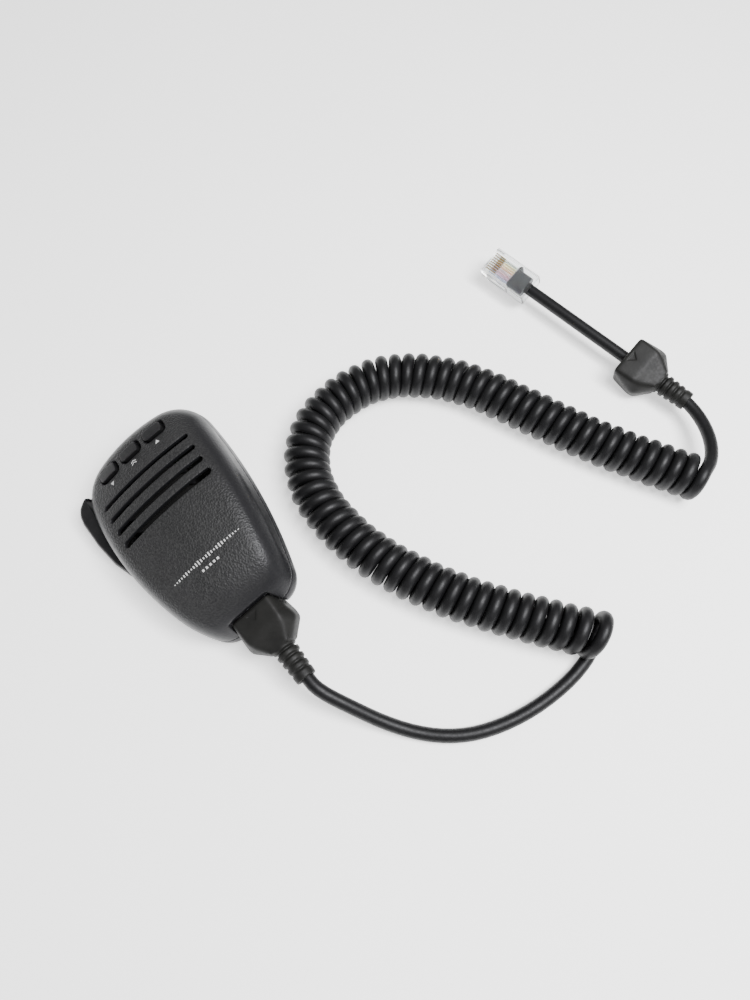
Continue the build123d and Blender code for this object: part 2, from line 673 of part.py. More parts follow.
def make_boot():
    """Rubber boot, mating edge at y = 0 and cord towards -y: pocket for the plug and a ribbed tail."""
    sections = [
        boot_section(0, 7.6, 6.5, 8.2, 5.6, -5.6, 7.4, -6.5),
        boot_section(-8.6, 7.4, 6.5, 10.2, 1.4, -4.0, 8.6, -6.5),
        boot_section(-11.2, 6.4, 5.5, 10.1, 1.2, -4.0, 8.0, -6.2),
        boot_section(-BOOT_LENGTH, 3.6, 4.2, 4.9, 1.6, -2.6, 3.6, -4.3),
    ]
    body = loft(sections, ruled=True)
    end = -BOOT_LENGTH - RELIEF_LENGTH
    tail = Pos(0, -BOOT_LENGTH - RELIEF_LENGTH / 2, 0) * Rot(-90, 0, 0) * Cone(3.7, 4.4, RELIEF_LENGTH)
    body = body + tail
    for number in range(4):
        y = -BOOT_LENGTH - 1.4 - number * 2.7
        groove = Pos(0, y, 0) * Rot(90, 0, 0) * (Cylinder(6, 1.0) - Cylinder(3.35, 1.0))
        body = body - groove
    bore = Pos(0, end / 2, 0) * Rot(90, 0, 0) * Cylinder(CORD_R + FIT_GAP, -end + 2)
    body = body - bore
    half = PLUG_WIDTH / 2 + 0.1
    pocket = box((-half, half), (-BOOT_POCKET, 1), (-PLUG_HEIGHT / 2 - 2.5, PLUG_HEIGHT / 2 + 0.1))
    body = body - pocket
    mark = Polyline((-2.4, -1.6), (2.4, -1.6), (0, -4.6), close=True)
    arrow = Pos(0, 0, 6.3) * extrude(make_face(mark), 1)
    return body - arrow


# ---------------------------------------------------------------- placing the microphone's parts
def lie_down(part, shift):
    """Turn a part of the microphone from its local frame to the way it lies on the table."""
    turned = Rot(0, REST_ROLL, 0) * Rot(REST_PITCH, 0, 0) * part
    return Pos(*shift) * turned


def microphone_parts():
    parts = {
        "front_shell": make_front_shell(),
        "rear_shell": make_rear_shell(),
        "circuit_board": make_circuit_board(),
        "case_screws": make_case_screws(),
        "board_screws": make_board_screws(),
        "hanger_stud": make_hanger_stud(),
        "stud_screw": make_stud_screw(),
        "tact_switches": make_tact_switches(),
        "ptt_bar": make_ptt_bar(),
        "ptt_pivot_pin": make_ptt_pin(),
        "ptt_return_spring": make_ptt_spring(),
        "ptt_switch": make_ptt_switch(),
        "ptt_switch_plunger": make_ptt_plunger(),
        "tone_switch": make_tone_switch(),
        "tone_slider": make_tone_slider(),
        "capsule_cup": make_capsule_cup(),
        "capsule_cap": make_capsule_cap(),
        "capsule_diaphragm": make_capsule_diaphragm(),
        "capsule_ring": make_capsule_ring(),
        "acoustic_cloth": make_acoustic_cloth(),
        "capsule_pad": make_capsule_pad(),
        "capsule_leads": make_capsule_leads(),
        "modular_jack": make_jack(),
        "jack_contacts": make_jack_contacts(),
    }
    for name, x in BUTTON_X.items():
        parts[name] = make_button(x)
        parts[name + "_plunger"] = make_tact_plunger(x)
    return parts


def microphone_cord_parts():
    """Pieces of the cord's end that sit in the microphone."""
    in_jack = Pos(0, MIC_PLUG_Y, MIC_CORD_Z)
    return {
        "mic_plug_body": in_jack * make_plug_body(),
        "mic_plug_blades": in_jack * make_plug_blades(),
        "mic_plug_wires": in_jack * make_plug_wires(),
        "mic_plug_sheath": in_jack * make_plug_sheath(),
        "mic_plug_latch": in_jack * pressed_latch(),
        "mic_end_boot": Pos(0, MIC_BOOT_Y, MIC_CORD_Z) * make_boot(),
        "cord_mic_end": in_jack * straight_cord(-BOOT_LENGTH - RELIEF_LENGTH + BOOT_POCKET - 0.1, CORD_IN_PLUG),
    }


def resting_shift(parts):
    """Shift that puts the origin at the bottom centre of the microphone's own bounding box."""
    whole = Compound([lie_down(part, (0, 0, 0)) for part in parts.values()])
    bounds = whole.bounding_box()
    return (-(bounds.min.X + bounds.max.X) / 2, -(bounds.min.Y + bounds.max.Y) / 2, -bounds.min.Z)


# ---------------------------------------------------------------- cord
def arc_radii(points, share=0.45):
    """Radius at each corner of a route, from its shorter neighbouring run and its turn."""
    radii = []
    for before, corner, after in zip(points, points[1:], points[2:]):
        come = Vector(*corner) - Vector(*before)
        go = Vector(*after) - Vector(*corner)
        half_turn = math.radians(come.get_angle(go)) / 2
        radii.append(share * min(come.length, go.length) / math.tan(half_turn))
    return radii


def tube(name, points, radii, radius):
    """Round tube along straight runs joined by tangent arcs."""
    path = FilletPolyline(*points, radius=radii)
    solid = sweep(Plane(origin=path @ 0, z_dir=path % 0) * Circle(radius), path=path)
    print(name, "arc radii", [round(r, 1) for r in radii], "length", round(path.length, 1))
    print(name, "volume / (section x length)", round(solid.volume / (math.pi * radius**2 * path.length), 4))
    return solid


def row_point(x, y, z, shift):
    """A point of the microphone's local frame, in the frame of the table."""
    spot = Rot(0, REST_ROLL, 0) * Rot(REST_PITCH, 0, 0) * Pos(x, y, z)
    return (spot.position.X + shift[0], spot.position.Y + shift[1], spot.position.Z + shift[2])


def straight_cord(start_y, end_y):
    """Straight length of cord along y between two stations."""
    return Pos(0, (start_y + end_y) / 2, 0) * Rot(90, 0, 0) * Cylinder(CORD_R, end_y - start_y)


def radio_location():
    """Frame at the rear of the radio's plug, +y from the cord towards the tip."""
    x = RADIO_PLUG_AT[0] - RADIO_RELIEF_AT[0]
    y = RADIO_PLUG_AT[1] - RADIO_RELIEF_AT[1]
    turn = math.degrees(math.atan2(-x, y))
    return Pos(RADIO_PLUG_AT[0], RADIO_PLUG_AT[1], RADIO_AXIS_Z) * Rot(0, 0, turn) * Rot(0, RADIO_ROLL, 0), math.hypot(x, y)


def radio_end_parts():
    place, reach = radio_location()
    boot_y = BOOT_LENGTH + RELIEF_LENGTH - reach
    print("radio boot's mating edge stands back", round(-boot_y, 3), "from the plug")
    return {
        "radio_plug_body": place * make_plug_body(),
        "radio_plug_blades": place * make_plug_blades(),
        "radio_plug_wires": place * make_plug_wires(),
        "radio_plug_sheath": place * make_plug_sheath(),
        "radio_plug_latch": place * make_plug_latch(),
        "radio_boot": place * (Pos(0, boot_y, 0) * make_boot()),
        "cord_straight": place * straight_cord(-reach, CORD_IN_PLUG),
    }


def cord_parts(shift):
    lead = [row_point(0, MIC_BOOT_Y - BOOT_LENGTH - RELIEF_LENGTH, MIC_CORD_Z, shift)] + LEAD_POINTS
    tail = TAIL_POINTS + [(RADIO_RELIEF_AT[0], RADIO_RELIEF_AT[1], RADIO_AXIS_Z)]
    return {
        "cord_lead": tube("cord_lead", lead, arc_radii(lead), CORD_R),
        "cord_coil": tube("cord_coil", COIL_POINTS, arc_radii(COIL_POINTS), COIL_R),
        "cord_tail": tube("cord_tail", tail, TAIL_RADII, CORD_R),
    }


def write(name, part):
    solids = part.solids()
    shape = solids[0] if len(solids) == 1 else Compound(solids)
    shape.label = name
    export_step(shape, "parts/" + name + ".step")


parts = microphone_parts()
shift = resting_shift(parts)
print("shift of the local frame", [round(v, 4) for v in shift])
for name in ("hanger_stud", "rear_shell"):
    print(name, "lowest", round(lie_down(parts[name], shift).bounding_box().min.Z, 3))
parts.update(microphone_cord_parts())
for name, part in parts.items():
    write(name, lie_down(part, shift))
for name, part in {**radio_end_parts(), **cord_parts(shift)}.items():
    write(name, part)
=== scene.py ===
import json
import math

import bmesh
import bpy
from mathutils import Matrix, Vector
from mathutils.bvhtree import BVHTree


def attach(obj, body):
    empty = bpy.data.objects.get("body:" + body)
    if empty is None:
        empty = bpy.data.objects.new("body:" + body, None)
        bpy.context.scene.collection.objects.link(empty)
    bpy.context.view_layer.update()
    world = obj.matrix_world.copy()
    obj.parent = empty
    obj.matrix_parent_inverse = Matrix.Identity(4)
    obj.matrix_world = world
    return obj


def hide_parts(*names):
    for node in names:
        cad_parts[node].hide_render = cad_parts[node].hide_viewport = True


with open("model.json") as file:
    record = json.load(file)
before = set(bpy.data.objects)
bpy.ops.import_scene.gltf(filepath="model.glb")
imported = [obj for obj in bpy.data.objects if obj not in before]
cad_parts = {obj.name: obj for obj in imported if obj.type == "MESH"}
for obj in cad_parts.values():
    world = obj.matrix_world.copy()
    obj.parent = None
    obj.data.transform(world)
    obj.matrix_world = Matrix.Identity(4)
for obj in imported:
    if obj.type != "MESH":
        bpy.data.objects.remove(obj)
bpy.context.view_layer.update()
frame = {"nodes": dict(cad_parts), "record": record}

# ---------------------------------------------------------------- the camera
CAMERA_AT = Vector((-0.00286, -0.11228, 0.26175))
CAMERA_LOOKS_AT = Vector((0.06284, -0.02604, 0.0))
IMAGE_RIGHT = Vector((0.7955, -0.6060, 0.0))
LENS_MM = 27.0
SENSOR_MM = 36.0
CLIP_NEAR = 0.01
CLIP_FAR = 10.0


def link(name, data):
    """New object that shows this data."""
    piece = bpy.data.objects.new(name, data)
    bpy.context.scene.collection.objects.link(piece)
    return piece


def make_camera():
    """Camera above the microphone's foot, turned as the picture is."""
    data = bpy.data.cameras.new("camera")
    data.lens = LENS_MM
    data.sensor_width = SENSOR_MM
    data.clip_start = CLIP_NEAR
    data.clip_end = CLIP_FAR
    camera = link("camera", data)
    back = (CAMERA_AT - CAMERA_LOOKS_AT).normalized()
    right = (IMAGE_RIGHT - back * IMAGE_RIGHT.dot(back)).normalized()
    up = back.cross(right)
    turn = Matrix((right, up, back)).transposed().to_4x4()
    camera.matrix_world = Matrix.Translation(CAMERA_AT) @ turn
    bpy.context.scene.camera = camera


make_camera()

# ---------------------------------------------------------------- the cord
# From the plug inside the microphone, along the lead, round the coil and up the tail, into the
# radio's plug. All points are the spline's control points, in metres.
CORD_D = 0.0048
CORD_BEVEL = 5
# Steps from one control point to the next, where a route is read and where the cord is drawn.
ROUTE_STEPS = 12
CORD_STEPS = 3
RELIEF_END = (0.00372, -0.06682, 0.01213)
LEAD_POINTS = [
    (0.00337, -0.04544, 0.01303),
    RELIEF_END,
    (0.0046, -0.0728, 0.0119),
    (0.0099, -0.0825, 0.0086),
    (0.0158, -0.0926, 0.0041),
    (0.0226, -0.1018, 0.00245),
    (0.0302, -0.1091, 0.00245),
    (0.0390, -0.1144, 0.00245),
    (0.0502, -0.1181, 0.00245),
    (0.0627, -0.1200, 0.00245),
    (0.0762, -0.1199, 0.00245),
    (0.0866, -0.1177, 0.00245),
]
COIL_POINTS = [
    (0.0909, -0.1146, 0.00885),
    (0.0717, -0.0910, 0.00885),
    (0.0551, -0.0656, 0.00885),
    (0.0442, -0.0383, 0.00885),
    (0.0435, -0.0105, 0.00885),
    (0.0565, 0.0084, 0.00885),
    (0.0770, 0.0144, 0.00885),
    (0.0983, 0.0102, 0.00885),
    (0.1180, -0.0086, 0.00885),
    (0.1292, -0.0338, 0.00885),
    (0.1435, -0.0665, 0.00885),
    (0.1606, -0.0945, 0.00885),
]
TAIL_POINTS = [
    (0.1668, -0.0929, 0.0138),
    (0.1738, -0.0872, 0.0118),
    (0.1790, -0.0790, 0.0100),
    (0.1811, -0.0695, 0.0092),
    (0.17955, -0.0604, 0.0092),
]
PLUG_REAR = (0.1682, 0.0064, 0.0092)
PLUG_INSIDE = (0.16787, 0.00837, 0.0092)

COIL_WIND_R = 0.0064
COIL_TURNS = 62.5
POINTS_PER_TURN = 16
END_LEAN = 0.0045
# Slow swelling of the windings along the coil: share of the radius, rate and offset.
COIL_SWELLS = [(0.012, 0.31, 0.0), (0.008, 0.083, 1.0)]


def nurbs(name, points, thickness=0.0):
    """Curve of one open spline with these control points.

    Its points carry the radius, because Blender grows a curve's box by that of its points.
    """
    curve = bpy.data.curves.new(name, "CURVE")
    curve.dimensions = "3D"
    curve.bevel_depth = 1.0 if thickness else 0.0
    curve.bevel_resolution = CORD_BEVEL
    curve.use_fill_caps = True
    spline = curve.splines.new("NURBS")
    spline.points.add(len(points) - 1)
    for point, place in zip(spline.points, points):
        point.co = (*place, 1.0)
        point.radius = thickness / 2
    spline.order_u = 3
    spline.use_endpoint_u = True
    curve.resolution_u = ROUTE_STEPS
    return link(name, curve)


def line_of(points):
    """Points read along the spline that has these control points."""
    piece = nurbs("route", points)
    mesh = bpy.data.meshes.new_from_object(piece)
    line = [vertex.co.copy() for vertex in mesh.vertices]
    bpy.data.objects.remove(piece)
    return line


def coil_helix():
    """Control points of the coil: the first is at the bottom of its end nearest the microphone.

    The tops of the first turns lean out past the coil's end, so that it stands open.
    """
    line = line_of(COIL_POINTS)
    spans = [(b - a).length for a, b in zip(line, line[1:])]
    total = sum(spans)
    count = int(COIL_TURNS * POINTS_PER_TURN)
    up = Vector((0, 0, 1))
    helix = []
    index = 0
    travelled = 0.0
    for step in range(count + 1):
        want = total * step / count
        while index < len(spans) - 1 and travelled + spans[index] < want:
            travelled += spans[index]
            index += 1
        share = (want - travelled) / spans[index]
        centre = line[index].lerp(line[index + 1], share)
        ahead = line[min(index + 2, len(line) - 1)] - line[max(index - 1, 0)]
        ahead.normalize()
        side = ahead.cross(up).normalized()
        turns = step / POINTS_PER_TURN
        angle = 2 * math.pi * turns
        centre -= ahead * END_LEAN * math.exp(-turns) * (1 - math.cos(angle)) / 2
        swell = 1.0
        for size, rate, offset in COIL_SWELLS:
            swell += size * math.sin(angle * rate + offset)
        spoke = side * math.sin(angle) - up * math.cos(angle)
        helix.append(centre + spoke * (COIL_WIND_R * swell))
    return helix


cord = nurbs("cord", [*LEAD_POINTS, *coil_helix(), *TAIL_POINTS, PLUG_INSIDE], CORD_D)
cord.data.resolution_u = CORD_STEPS
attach(cord, "microphone")
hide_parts("cord_lead", "cord_coil", "cord_tail", "cord_straight", "cord_mic_end")

# ---------------------------------------------------------------- how the pieces lie
# The microphone's own plan, and the radio plug's, as they stand in the shared frame.
ROLL = math.radians(-21.0)
MIC_PITCH = math.radians(2.6)
RADIO_HEADING = math.atan2(12.9, 75.9)
MIC_SHIFT = Vector((0.0053188, -0.0001498, 0.0079448))
MIC_TURN = Matrix.Rotation(ROLL, 4, "Y") @ Matrix.Rotation(MIC_PITCH, 4, "X")
MIC_FRAME = Matrix.Translation(MIC_SHIFT) @ MIC_TURN
FACE_NORMAL = MIC_TURN.to_3x3() @ Vector((0, 0, 1))
RADIO_TURN = Matrix.Rotation(RADIO_HEADING, 4, "Z") @ Matrix.Rotation(ROLL, 4, "Y")


# ---------------------------------------------------------------- materials
class Nodes:
    """One material's node tree, with a short way to add and join nodes."""

    def __init__(self, name):
        self.material = bpy.data.materials.new(name)
        self.material.use_nodes = True
        self.tree = self.material.node_tree
        self.surface = self.tree.nodes["Principled BSDF"]
        self.place = self.add("ShaderNodeTexCoord").outputs["Object"]

    def add(self, kind, inputs=None, **settings):
        node = self.tree.nodes.new(kind)
        for key, value in settings.items():
            setattr(node, key, value)
        for key, value in (inputs or {}).items():
            self.put(node.inputs[key], value)
        return node

    def put(self, socket, value):
        if isinstance(value, bpy.types.NodeSocket):
            self.tree.links.new(value, socket)
        else:
            socket.default_value = value

    def set(self, **inputs):
        """Sets the surface's own inputs."""
        for key, value in inputs.items():
            self.put(self.surface.inputs[key.replace("_", " ")], value)

    def noise(self, scale, detail=2.0, stretch=None):
        """Soft noise with this many blobs in a metre."""
        place = self.place
        if stretch:
            mapping = self.add("ShaderNodeMapping", {"Vector": place, "Scale": stretch})
            place = mapping.outputs["Vector"]
        inputs = {"Vector": place, "Scale": scale, "Detail": detail}
        return self.add("ShaderNodeTexNoise", inputs).outputs["Fac"]

    def pebbles(self, scale):
        """Rounded grains, this many to the metre."""
        inputs = {"Vector": self.place, "Scale": scale, "Smoothness": 0.6}
        node = self.add("ShaderNodeTexVoronoi", inputs, feature="SMOOTH_F1")
        return node.outputs["Distance"]

    def wave(self, scale, direction):
        inputs = {"Vector": self.place, "Scale": scale}
        return self.add("ShaderNodeTexWave", inputs, bands_direction=direction).outputs["Fac"]

    def carry(self, value, old, new=(0.0, 1.0)):
        """Value carried from its old range to the new one, and held within it."""
        inputs = {
            "Value": value,
            "From Min": old[0],
            "From Max": old[1],
            "To Min": new[0],
            "To Max": new[1],
        }
        return self.add("ShaderNodeMapRange", inputs).outputs["Result"]

    def spread(self, value, low, high):
        """Noise carried from its usual range to low..high."""
        return self.carry(value, (0.3, 0.7), (low, high))

    def mix(self, share, one, other):
        node = self.add("ShaderNodeMix", data_type="RGBA")
        self.put(node.inputs["Factor"], share)
        self.put(node.inputs["A"], one)
        self.put(node.inputs["B"], other)
        return node.outputs["Result"]

    def clouded(self, scale, detail, share, one, other):
        """Two colours clouded into each other; share is how far the second comes through."""
        return self.mix(self.spread(self.noise(scale, detail), 0.0, share), rgb(*one), rgb(*other))

    def maths(self, operation, a, b):
        return self.add("ShaderNodeMath", {0: a, 1: b}, operation=operation).outputs[0]

    def dot(self, a, b):
        node = self.add("ShaderNodeVectorMath", {0: a, 1: b}, operation="DOT_PRODUCT")
        return node.outputs["Value"]

    def normal(self):
        return self.add("ShaderNodeNewGeometry").outputs["Normal"]

    def edges(self, radius):
        """1 on edges sharper than this radius, 0 on flats."""
        rounded = self.add("ShaderNodeBevel", {"Radius": radius}, samples=4).outputs["Normal"]
        return self.carry(self.dot(rounded, self.normal()), (0.99, 0.8))

    def bump(self, height, distance, strength=1.0):
        inputs = {"Height": height, "Distance": distance, "Strength": strength}
        return self.add("ShaderNodeBump", inputs).outputs["Normal"]


def rgb(r, g, b):
    return (r, g, b, 1.0)


SHINE_TINT = (0.6, 0.6, 0.62)
HOUSING_DARK = (0.0095, 0.0095, 0.0098)
HOUSING_LIGHT = (0.0165, 0.0165, 0.017)
HOUSING_WORN = (0.05, 0.05, 0.053)
# Smooth flank colour, darker than the face: partly the smoother moulding's own tone, partly painted
# shade on the rolled heel.
FLANK_AND_HEEL_SHADE_COLOUR = (0.0095, 0.0095, 0.0105)
GRAIN_COLOUR = (0.026, 0.026, 0.026)
# How squarely a place looks out of the face: flank up to the first, face from the second. The
# second is set high so that the rolled heel also takes the darker flank colour, as painted shade.
FACE_TURN = (0.70, 0.98)
FLANK_TO_FACE_ROUGH = (0.35, 0.56)
FLANK_TO_FACE_GRAIN = (0.12, 1.0)
WIRE_ROW_HALF = 0.00408
WIRE_COLOURS = [
    (0.50, 0.52, 0.72),
    (0.72, 0.45, 0.62),
    (0.85, 0.50, 0.58),
    (0.80, 0.62, 0.66),
    (0.90, 0.55, 0.32),
    (0.92, 0.70, 0.35),
    (0.86, 0.80, 0.45),
    (0.70, 0.76, 0.66),
]


def housing_material():
    """Charcoal moulding: pebbled on the face, smoother and darker where it rolls over to the sides;
    on the rolled heel that darker colour is painted shade.
    """
    n = Nodes("housing")
    face = n.carry(n.dot(n.normal(), tuple(FACE_NORMAL)), FACE_TURN)
    grains = n.pebbles(1500.0)
    cloud = n.clouded(90.0, 4.0, 1.0, HOUSING_DARK, HOUSING_LIGHT)
    # The darker flank colour here is partly the flank's own and partly painted shade where the heel
    # rolls away from the light.
    colour = n.mix(face, rgb(*FLANK_AND_HEEL_SHADE_COLOUR), cloud)
    pale = n.maths("MULTIPLY", n.spread(grains, 0.0, 0.8), face)
    colour = n.mix(pale, colour, rgb(*GRAIN_COLOUR))
    wear = n.maths("MULTIPLY", n.edges(0.0004), n.spread(n.noise(500.0), 0.1, 0.8))
    colour = n.mix(wear, colour, rgb(*HOUSING_WORN))
    rough = n.carry(face, (0.0, 1.0), FLANK_TO_FACE_ROUGH)
    rough = n.maths("ADD", rough, n.spread(n.noise(700.0), -0.04, 0.04))
    fine = n.maths("MULTIPLY", n.noise(4200.0), 0.25)
    height = n.maths("ADD", n.maths("MULTIPLY", grains, -1.0), fine)
    height = n.maths("MULTIPLY", height, n.carry(face, (0.0, 1.0), FLANK_TO_FACE_GRAIN))
    n.set(
        Base_Color=colour,
        Roughness=rough,
        Specular_IOR_Level=0.38,
        Specular_Tint=rgb(*SHINE_TINT),
        Normal=n.bump(height, 0.00035, 0.8),
    )
    return n.material


def moulded(
    name,
    colour,
    light,
    rough,
    specular=0.4,
    grain=2500.0,
    height=0.00008,
    wear=0.4,
    wear_colour=(0.06, 0.06, 0.062),
):
    """Plastic or rubber with a fine grain, faint clouding and paler edges."""
    n = Nodes(name)
    tint = n.clouded(160.0, 3.0, 1.0, colour, light)
    worn = n.maths("MULTIPLY", n.edges(0.0003), n.spread(n.noise(600.0), 0.0, wear))
    n.set(
        Base_Color=n.mix(worn, tint, rgb(*wear_colour)),
        Roughness=n.spread(n.noise(900.0), rough - 0.05, rough + 0.05),
        Specular_IOR_Level=specular,
        Specular_Tint=rgb(*SHINE_TINT),
        Normal=n.bump(n.noise(grain, 3.0), height, 0.7),
    )
    return n.material


def metal(name, colour, rough):
    """Plated metal with a drawn grain and slight tarnish."""
    n = Nodes(name)
    dull = tuple(part * 0.75 for part in colour)
    scratches = n.noise(1800.0, 2.0, (1.0, 1.0, 12.0))
    n.set(
        Base_Color=n.clouded(250.0, 3.0, 0.6, colour, dull),
        Metallic=1.0,
        Roughness=n.spread(scratches, rough - 0.08, rough + 0.1),
        Normal=n.bump(scratches, 0.00002, 0.5),
    )
    return n.material


def clear_material():
    """Clear polycarbonate with faint flow marks."""
    n = Nodes("clear_plug")
    n.set(
        Base_Color=n.clouded(200.0, 2.0, 0.5, (0.99, 1.0, 1.0), (0.95, 0.97, 0.98)),
        Roughness=n.spread(n.noise(600.0), 0.02, 0.07),
        IOR=1.58,
        Transmission_Weight=1.0,
        Normal=n.bump(n.noise(350.0, 1.0), 0.00006, 0.35),
    )
    return n.material


def wire_material():
    """Eight insulated wires side by side, told apart by their place across the plug."""
    n = Nodes("wire_colours")
    across = RADIO_TURN.to_3x3() @ Vector((1, 0, 0))
    middle = across.dot(Vector(PLUG_REAR))
    row = (middle - WIRE_ROW_HALF, middle + WIRE_ROW_HALF)
    ramp = n.add("ShaderNodeValToRGB", {"Fac": n.carry(n.dot(n.place, tuple(across)), row)})
    ramp.color_ramp.interpolation = "CONSTANT"
    stops = ramp.color_ramp.elements
    while len(stops) < len(WIRE_COLOURS):
        stops.new(1.0)
    for index, tint in enumerate(WIRE_COLOURS):
        stops[index].position = index / len(WIRE_COLOURS)
        stops[index].color = rgb(*tint)
    chalk = n.spread(n.noise(900.0), 0.0, 0.15)
    n.set(
        Base_Color=n.mix(chalk, ramp.outputs["Color"], rgb(1, 1, 1)),
        Roughness=0.35,
        Normal=n.bump(n.noise(2500.0), 0.00003, 0.4),
    )
    return n.material


def board_material():
    """Dark green solder mask over faint tracks."""
    n = Nodes("board")
    inputs = {"Vector": n.place, "Scale": 420.0, "Mortar Size": 0.012}
    tracks = n.add("ShaderNodeTexBrick", inputs).outputs["Fac"]
    n.set(
        Base_Color=n.mix(tracks, rgb(0.003, 0.006, 0.004), rgb(0.006, 0.010, 0.007)),
        Roughness=0.35,
        Normal=n.bump(tracks, 0.00003, 0.6),
    )
    return n.material


def cloth_material():
    """Black woven gauze."""
    n = Nodes("cloth")
    weave = n.maths("MAXIMUM", n.wave(900.0, "X"), n.wave(900.0, "Y"))
    n.set(
        Base_Color=n.mix(weave, rgb(0.003, 0.003, 0.003), rgb(0.012, 0.012, 0.012)),
        Roughness=0.9,
        Specular_IOR_Level=0.1,
        Normal=n.bump(weave, 0.0001),
    )
    return n.material


def ink_material():
    """Pale grey printing ink, slightly broken up by the grain beneath."""
    n = Nodes("ink")
    n.set(
        Base_Color=n.clouded(2500.0, 2.0, 0.55, (0.55, 0.55, 0.55), (0.2, 0.2, 0.2)),
        Roughness=0.6,
        Specular_IOR_Level=0.2,
        Normal=n.bump(n.noise(3000.0), 0.00005),
    )
    return n.material


SLOT_MATERIALS = {
    "housing": housing_material(),
    "key": moulded("key", (0.006, 0.006, 0.0065), (0.010, 0.010, 0.0105), 0.40, 0.42),
    "cord_jacket": moulded(
        "cord_jacket",
        (0.0035, 0.0035, 0.0038),
        (0.0055, 0.0055, 0.006),
        rough=0.46,
        specular=0.36,
        grain=1800.0,
        height=0.00005,
        wear=0.0,
    ),
    "boot_rubber": moulded(
        "boot_rubber",
        (0.0075, 0.0075, 0.0070),
        (0.0115, 0.0115, 0.0107),
        rough=0.50,
        specular=0.28,
        grain=3000.0,
        height=0.00005,
        wear=0.0,
    ),
    "clear_plug": clear_material(),
    "gilt": metal("gilt", (0.83, 0.60, 0.24), 0.22),
    "wire_colours": wire_material(),
    "grey_sheath": moulded(
        "grey_sheath",
        (0.05, 0.052, 0.057),
        (0.085, 0.087, 0.092),
        rough=0.4,
        grain=1500.0,
        height=0.0001,
        wear=0.3,
        wear_colour=(0.4, 0.4, 0.4),
    ),
    "board": board_material(),
    "plated_steel": metal("plated_steel", (0.62, 0.61, 0.58), 0.26),
    "capsule_metal": metal("capsule_metal", (0.30, 0.30, 0.31), 0.42),
    "film": moulded("film", (0.45, 0.40, 0.28), (0.55, 0.5, 0.36), 0.35),
    "cloth": cloth_material(),
    "foam": moulded("foam", (0.01, 0.01, 0.01), (0.02, 0.02, 0.02), 0.95, 0.1, 900.0, 0.0004),
}
# Near-black matte for the capsule ring and cap seen through the slots: painted shade, so that the
# slots read as unbroken dark grooves.
SLOT_PAINTED_SHADE_BLACK = moulded("capsule_ring", (0.003, 0.003, 0.003), (0.005, 0.005, 0.005), 0.8, 0.1)
INK = ink_material()


def dress(piece, material):
    piece.data.materials.clear()
    piece.data.materials.append(material)


NODE_SLOT = {part["node"]: part["material_slot"] for part in frame["record"]["subparts"]}
NODE_BODY = {
    node: body
    for body, members in frame["record"]["behaviour"]["bodies"].items()
    for node in members
}
for name, piece in frame["nodes"].items():
    dress(piece, SLOT_MATERIALS[NODE_SLOT[name]])
# The capsule ring and cap are dressed in the near-black painted shade of the slots.
dress(frame["nodes"]["capsule_ring"], SLOT_PAINTED_SHADE_BLACK)
dress(frame["nodes"]["capsule_cap"], SLOT_PAINTED_SHADE_BLACK)
dress(cord, SLOT_MATERIALS["cord_jacket"])

# ---------------------------------------------------------------- moulded pieces with soft edges
# Each node's voxel size in metres, and how many passes roll its edges over.
SOFT_PIECES = {
    "front_shell": (0.00030, 4),
    "rear_shell": (0.00035, 4),
    "ptt_bar": (0.00022, 40),
    "button_down": (0.00014, 6),
    "button_fast": (0.00014, 6),
    "button_up": (0.00014, 6),
    "mic_end_boot": (0.00024, 14),
    "radio_boot": (0.00024, 14),
}


def add_smooth(piece, passes, group=""):
    smooth = piece.modifiers.new("smooth", "SMOOTH")
    smooth.factor = 0.5
    smooth.iterations = passes
    smooth.vertex_group = group


def bake(piece):
    """Takes the piece's modifiers into a mesh of its own."""
    bpy.context.view_layer.update()
    graph = bpy.context.evaluated_depsgraph_get()
    mesh = bpy.data.meshes.new_from_object(piece.evaluated_get(graph))
    piece.modifiers.clear()
    piece.data = mesh


def softened(node, voxel, passes):
    """The node's own shape remeshed finely, its edges rolled over as a moulding's are."""
    piece = link(node + "_moulding", frame["nodes"][node].data.copy())
    remesh = piece.modifiers.new("remesh", "REMESH")
    remesh.mode = "VOXEL"
    remesh.voxel_size = voxel
    add_smooth(piece, passes)
    bake(piece)
    polygons = piece.data.polygons
    polygons.foreach_set("use_smooth", [True] * len(polygons))
    slot = NODE_SLOT[node]
    dress(piece, SLOT_MATERIALS[slot])
    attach(piece, NODE_BODY[node])
    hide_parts(node)
    return piece


soft = {node: softened(node, *how) for node, how in SOFT_PIECES.items()}

# ---------------------------------------------------------------- the boots' rounding and mark
# In a boot's own frame x is across, y is towards the plug from the boot's mouth, and z is up.
BOOT_IN_MIC = (0.0, -0.0374, 0.0075)
BOOT_BEHIND_PLUG = (0.0, -0.047988, 0.0)
BOOT_BODY = 0.0162
BOOT_BLEND = 0.0012
BOOT_ROUNDING = 150
BOOT_TOP = 0.005
POCKET_HALF = 0.0062
POCKET_TOP = 0.0037
POCKET_DEPTH = 0.0082
POCKET_EASE = 0.0002
MARK_LOW = -0.0046
MARK_HIGH = -0.0016
MARK_HALF = 0.0024
MARK_DEPTH = 0.00028
MARK_EDGE = 0.00025


def held(value):
    """Value held within 0 and 1."""
    return min(max(value, 0.0), 1.0)


def mark_depth(x, y):
    """How far the mark, a triangle that points at the cord, is sunk at this place of the top."""
    slope = (MARK_HIGH - MARK_LOW) / MARK_HALF
    side = (y - MARK_LOW - abs(x) * slope) / math.hypot(1.0, slope)
    return MARK_DEPTH * held(min(side, MARK_HIGH - y) / MARK_EDGE)


def in_pocket(spot):
    """Whether this place is on a wall of the pocket that takes the plug."""
    return abs(spot.x) < POCKET_HALF and spot.z < POCKET_TOP and spot.y > -POCKET_DEPTH


